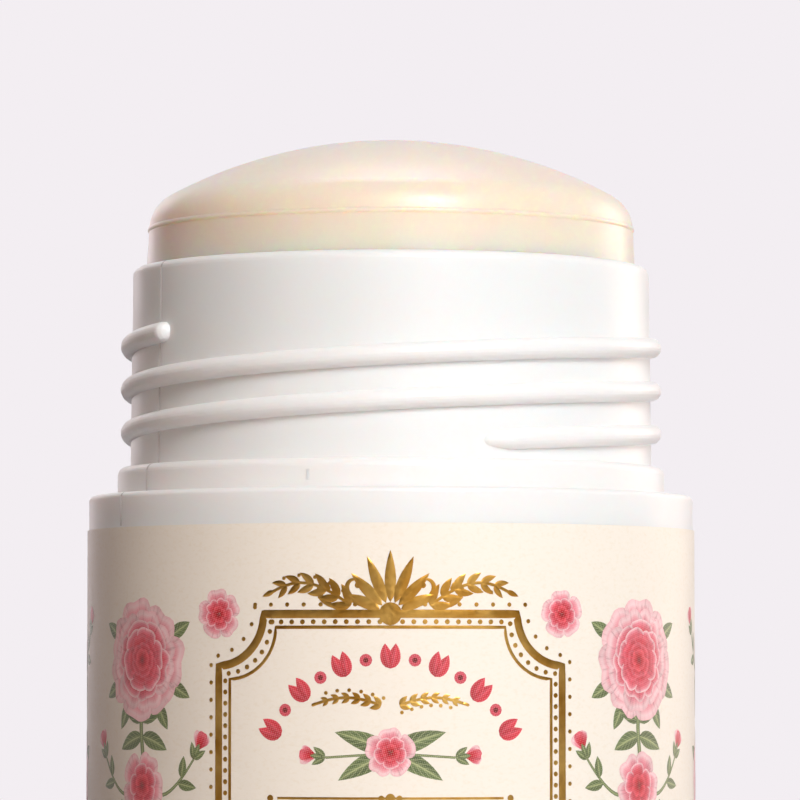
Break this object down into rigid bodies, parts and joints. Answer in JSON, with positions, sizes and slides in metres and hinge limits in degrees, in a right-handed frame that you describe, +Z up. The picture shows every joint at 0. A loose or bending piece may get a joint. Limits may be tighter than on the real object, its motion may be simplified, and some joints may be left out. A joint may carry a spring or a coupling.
{
  "type": "deodorant stick",
  "caption": "Round twist-up deodorant stick with a domed cream stick, a double-walled white body with a screw-cap neck, a wrap label and a grooved base dial.",
  "frame": {"origin": "centre of the plane the foot ring stands on", "axes": "+Z up along the body's axis, -Y towards the front of the label"},
  "size_m": [0.0424, 0.0423, 0.0848],
  "materials": {
    "white_plastic": "smooth, soft gloss",
    "inner_plastic": "plain moulded",
    "stick": "waxy, cloudy translucent, with a soft gloss",
    "label_film": "smooth satin film",
    "gold_foil": "hot-stamped foil",
    "pink_ink": "printed ink",
    "crimson_ink": "printed ink",
    "green_ink": "printed ink"
  },
  "bodies": {
    "tube": {"tube_body": "white_plastic", "label": "label_film", "label_foil": "gold_foil", "label_petals": "pink_ink", "label_hearts": "crimson_ink", "label_leaves": "green_ink"},
    "dial": {"base_dial": "white_plastic", "feed_screw": "inner_plastic"},
    "stick": {"elevator": "inner_plastic", "deodorant": "stick"}
  },
  "joints": [
    {"name": "dial_turn", "type": "hinge", "parent": "tube", "child": "dial", "pos_m": [0, 0, 0], "axis": [0, 0, -1], "range_deg": [-194.5, 3247.4]},
    {"name": "stick_rise", "type": "slide", "parent": "tube", "child": "stick", "axis": [0, 0, 1], "range_m": [-0.0027, 0.0451]}
  ],
  "couplings": [
    {"joint": "dial_turn", "follows": "stick_rise", "rad_per_m": 1256.6}
  ]
}
